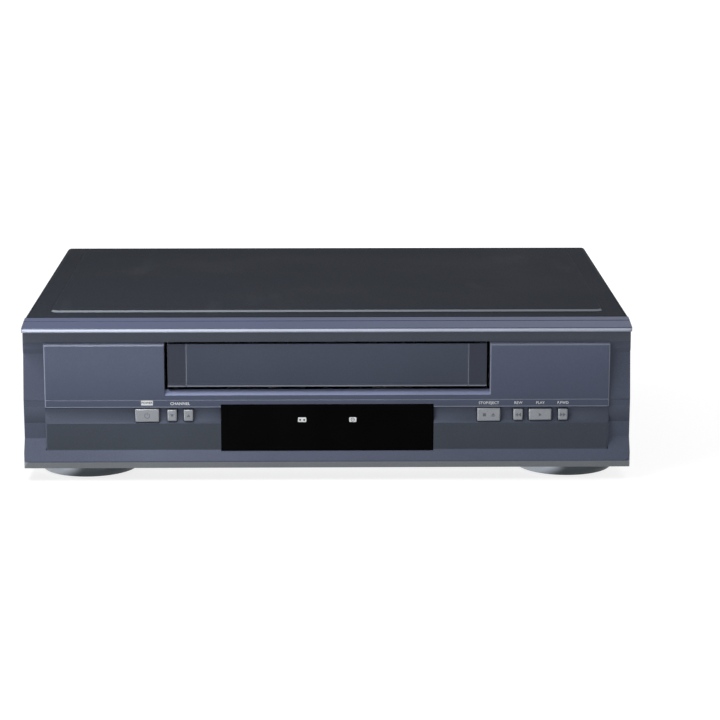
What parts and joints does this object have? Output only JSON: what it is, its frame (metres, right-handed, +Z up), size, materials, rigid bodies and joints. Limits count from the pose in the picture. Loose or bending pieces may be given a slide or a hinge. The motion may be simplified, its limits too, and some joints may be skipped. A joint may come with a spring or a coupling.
{
  "type": "vhs video cassette recorder",
  "caption": "Low home video cassette recorder with a flap door over the cassette slot, a dark display window, transport buttons, round feet and a complete tape deck inside.",
  "frame": {"origin": "middle of the length and width, on the surface that the feet stand on", "axes": "+Z up, the front faces -Y, +X to the right as seen from the front"},
  "size_m": [0.3616, 0.27, 0.0972],
  "materials": {
    "bezel": "metallic blue-grey moulded ABS",
    "cover": "charcoal textured paint",
    "window": "smoked acrylic",
    "button": "silver painted ABS",
    "foot": "moulded ABS with silver rim",
    "pad": "moulded rubber",
    "zinc_steel": "zinc-plated sheet steel",
    "screw": "plated steel",
    "board": "phenolic circuit board",
    "black_plastic": "moulded black plastic",
    "transformer": "ferrite and tape",
    "aluminium": "machined",
    "capacitor": "sleeved can",
    "glass": "glass",
    "nickel": "nickel plate",
    "steel": "ground steel",
    "white_plastic": "acetal",
    "rubber": "rubber",
    "ribbon": "flat cable"
  },
  "bodies": {
    "recorder": {"audio_head": "steel", "av_jacks": "black_plastic", "bottom_chassis": "zinc_steel", "capacitors": "capacitor", "capstan_housing": "black_plastic", "cover_screws": "screw", "deck_chassis": "zinc_steel", "display_tube": "glass", "display_window": "window", "drum_base": "aluminium", "erase_head": "steel", "feet": "foot", "fixed_guides": "steel", "foot_pads": "pad", "foot_screws": "screw", "front_board": "board", "front_panel": "bezel", "guide_rails": "black_plastic", "heat_sink": "aluminium", "housing_bridge": "zinc_steel", "infrared_sensor": "black_plastic", "loading_motor": "zinc_steel", "lower_drum": "aluminium", "main_board": "board", "mains_inlet": "black_plastic", "power_board": "board", "rear_panel": "zinc_steel", "reel_belt": "rubber", "rf_connectors": "nickel", "ribbon_cable": "ribbon", "side_brackets": "zinc_steel", "tact_switches": "black_plastic", "top_cover": "cover", "transformer": "transformer", "tuner_box": "zinc_steel"},
    "door": {"cassette_door": "bezel", "door_spring": "steel"},
    "carriage": {"carriage_frame": "zinc_steel"},
    "holder": {"cassette_holder": "zinc_steel"},
    "drum": {"upper_drum": "aluminium"},
    "capstan_rotor": {"capstan": "steel"},
    "clutch": {"reel_clutch": "white_plastic"},
    "supply_reel_table": {"supply_reel": "white_plastic"},
    "take_up_reel_table": {"take_up_reel": "white_plastic"},
    "idler_swing": {"idler_arm": "zinc_steel"},
    "idler": {"idler_wheel": "rubber"},
    "cam": {"cam_gear": "white_plastic"},
    "worm_shaft": {"worm": "white_plastic"},
    "supply_post": {"supply_loading_post": "white_plastic"},
    "take_up_post": {"take_up_loading_post": "white_plastic"},
    "pinch_lever": {"pinch_arm": "zinc_steel"},
    "pinch_wheel": {"pinch_roller": "rubber"},
    "tension_lever": {"tension_arm": "zinc_steel"},
    "channel_up_key": {"channel_up_button": "button"},
    "channel_down_key": {"channel_down_button": "button"},
    "power_key": {"power_button": "button"},
    "stop_key": {"stop_button": "button"},
    "rewind_key": {"rewind_button": "button"},
    "play_key": {"play_button": "button"},
    "forward_key": {"forward_button": "button"}
  },
  "joints": [
    {"name": "door_swing", "type": "hinge", "parent": "recorder", "child": "door", "pos_m": [0, -0.1239, 0.0882], "axis": [1, 0, 0], "range_deg": [0, 90], "stiffness_Nm_per_rad": 0.004, "springref_deg": -20.05},
    {"name": "carriage_slide", "type": "slide", "parent": "recorder", "child": "carriage", "axis": [0, -1, 0], "range_m": [-0.079, 0]},
    {"name": "holder_drop", "type": "slide", "parent": "carriage", "child": "holder", "axis": [0, 0, 1], "range_m": [-0.02, 0]},
    {"name": "drum_spin", "type": "hinge", "parent": "recorder", "child": "drum", "pos_m": [0, 0.072, 0.0372], "axis": [0.0399, -0.0936, 0.9948], "continuous": true},
    {"name": "capstan_spin", "type": "hinge", "parent": "recorder", "child": "capstan_rotor", "pos_m": [0.058, 0.037, 0.0164], "axis": [0, 0, 1], "continuous": true},
    {"name": "clutch_spin", "type": "hinge", "parent": "recorder", "child": "clutch", "pos_m": [0, -0.008, 0.0209], "axis": [0, 0, 1], "continuous": true},
    {"name": "supply_reel_spin", "type": "hinge", "parent": "recorder", "child": "supply_reel_table", "pos_m": [-0.0462, -0.031, 0.0294], "axis": [0, 0, 1], "continuous": true},
    {"name": "take_up_reel_spin", "type": "hinge", "parent": "recorder", "child": "take_up_reel_table", "pos_m": [0.0462, -0.031, 0.0294], "axis": [0, 0, 1], "continuous": true},
    {"name": "idler_swing", "type": "hinge", "parent": "recorder", "child": "idler_swing", "pos_m": [0, -0.008, 0.0329], "axis": [0, 0, 1], "range_deg": [-49, 49]},
    {"name": "idler_spin", "type": "hinge", "parent": "idler_swing", "child": "idler", "pos_m": [0, -0.0283, 0.0296], "axis": [0, 0, 1], "continuous": true},
    {"name": "cam_turn", "type": "hinge", "parent": "recorder", "child": "cam", "pos_m": [-0.08, 0.088, 0.0355], "axis": [0, 0, 1], "range_deg": [0, 180]},
    {"name": "worm_turn", "type": "hinge", "parent": "recorder", "child": "worm_shaft", "pos_m": [-0.08, 0.1115, 0.0385], "axis": [1, 0, 0], "range_deg": [-5500, 0]},
    {"name": "supply_post_slide", "type": "slide", "parent": "recorder", "child": "supply_post", "axis": [-0.2298, 0.9732, 0], "range_m": [0, 0.07398]},
    {"name": "take_up_post_slide", "type": "slide", "parent": "recorder", "child": "take_up_post", "axis": [0.2298, 0.9732, 0], "range_m": [0, 0.07398]},
    {"name": "pinch_swing", "type": "hinge", "parent": "recorder", "child": "pinch_lever", "pos_m": [0.084, 0.058, 0.038], "axis": [0, 0, 1], "range_deg": [0, 25]},
    {"name": "pinch_spin", "type": "hinge", "parent": "pinch_lever", "child": "pinch_wheel", "pos_m": [0.05841, 0.05472, 0.0403], "axis": [0, 0, 1], "continuous": true},
    {"name": "tension_swing", "type": "hinge", "parent": "recorder", "child": "tension_lever", "pos_m": [-0.076, 0.04, 0.0282], "axis": [0, 0, 1], "range_deg": [-8, 8], "stiffness_Nm_per_rad": 0.002},
    {"name": "channel_up_press", "type": "slide", "parent": "recorder", "child": "channel_up_key", "axis": [0, 1, 0], "range_m": [0, 0.0008], "stiffness_N_per_m": 900},
    {"name": "channel_down_press", "type": "slide", "parent": "recorder", "child": "channel_down_key", "axis": [0, 1, 0], "range_m": [0, 0.0008], "stiffness_N_per_m": 900},
    {"name": "power_press", "type": "slide", "parent": "recorder", "child": "power_key", "axis": [0, 1, 0], "range_m": [0, 0.0008], "stiffness_N_per_m": 900},
    {"name": "stop_press", "type": "slide", "parent": "recorder", "child": "stop_key", "axis": [0, 1, 0], "range_m": [0, 0.0008], "stiffness_N_per_m": 900},
    {"name": "rewind_press", "type": "slide", "parent": "recorder", "child": "rewind_key", "axis": [0, 1, 0], "range_m": [0, 0.0008], "stiffness_N_per_m": 900},
    {"name": "play_press", "type": "slide", "parent": "recorder", "child": "play_key", "axis": [0, 1, 0], "range_m": [0, 0.0008], "stiffness_N_per_m": 900},
    {"name": "forward_press", "type": "slide", "parent": "recorder", "child": "forward_key", "axis": [0, 1, 0], "range_m": [0, 0.0008], "stiffness_N_per_m": 900}
  ],
  "couplings": [
    {"joint": "worm_turn", "follows": "cam_turn", "ratio": -30},
    {"joint": "supply_post_slide", "follows": "cam_turn", "m_per_rad": 0.023548},
    {"joint": "take_up_post_slide", "follows": "cam_turn", "m_per_rad": 0.023548},
    {"joint": "pinch_swing", "follows": "cam_turn", "ratio": 0.13889},
    {"joint": "clutch_spin", "follows": "capstan_spin", "ratio": 0.46667},
    {"joint": "idler_spin", "follows": "capstan_spin", "ratio": -0.2},
    {"joint": "pinch_spin", "follows": "capstan_spin", "ratio": -0.23077}
  ]
}
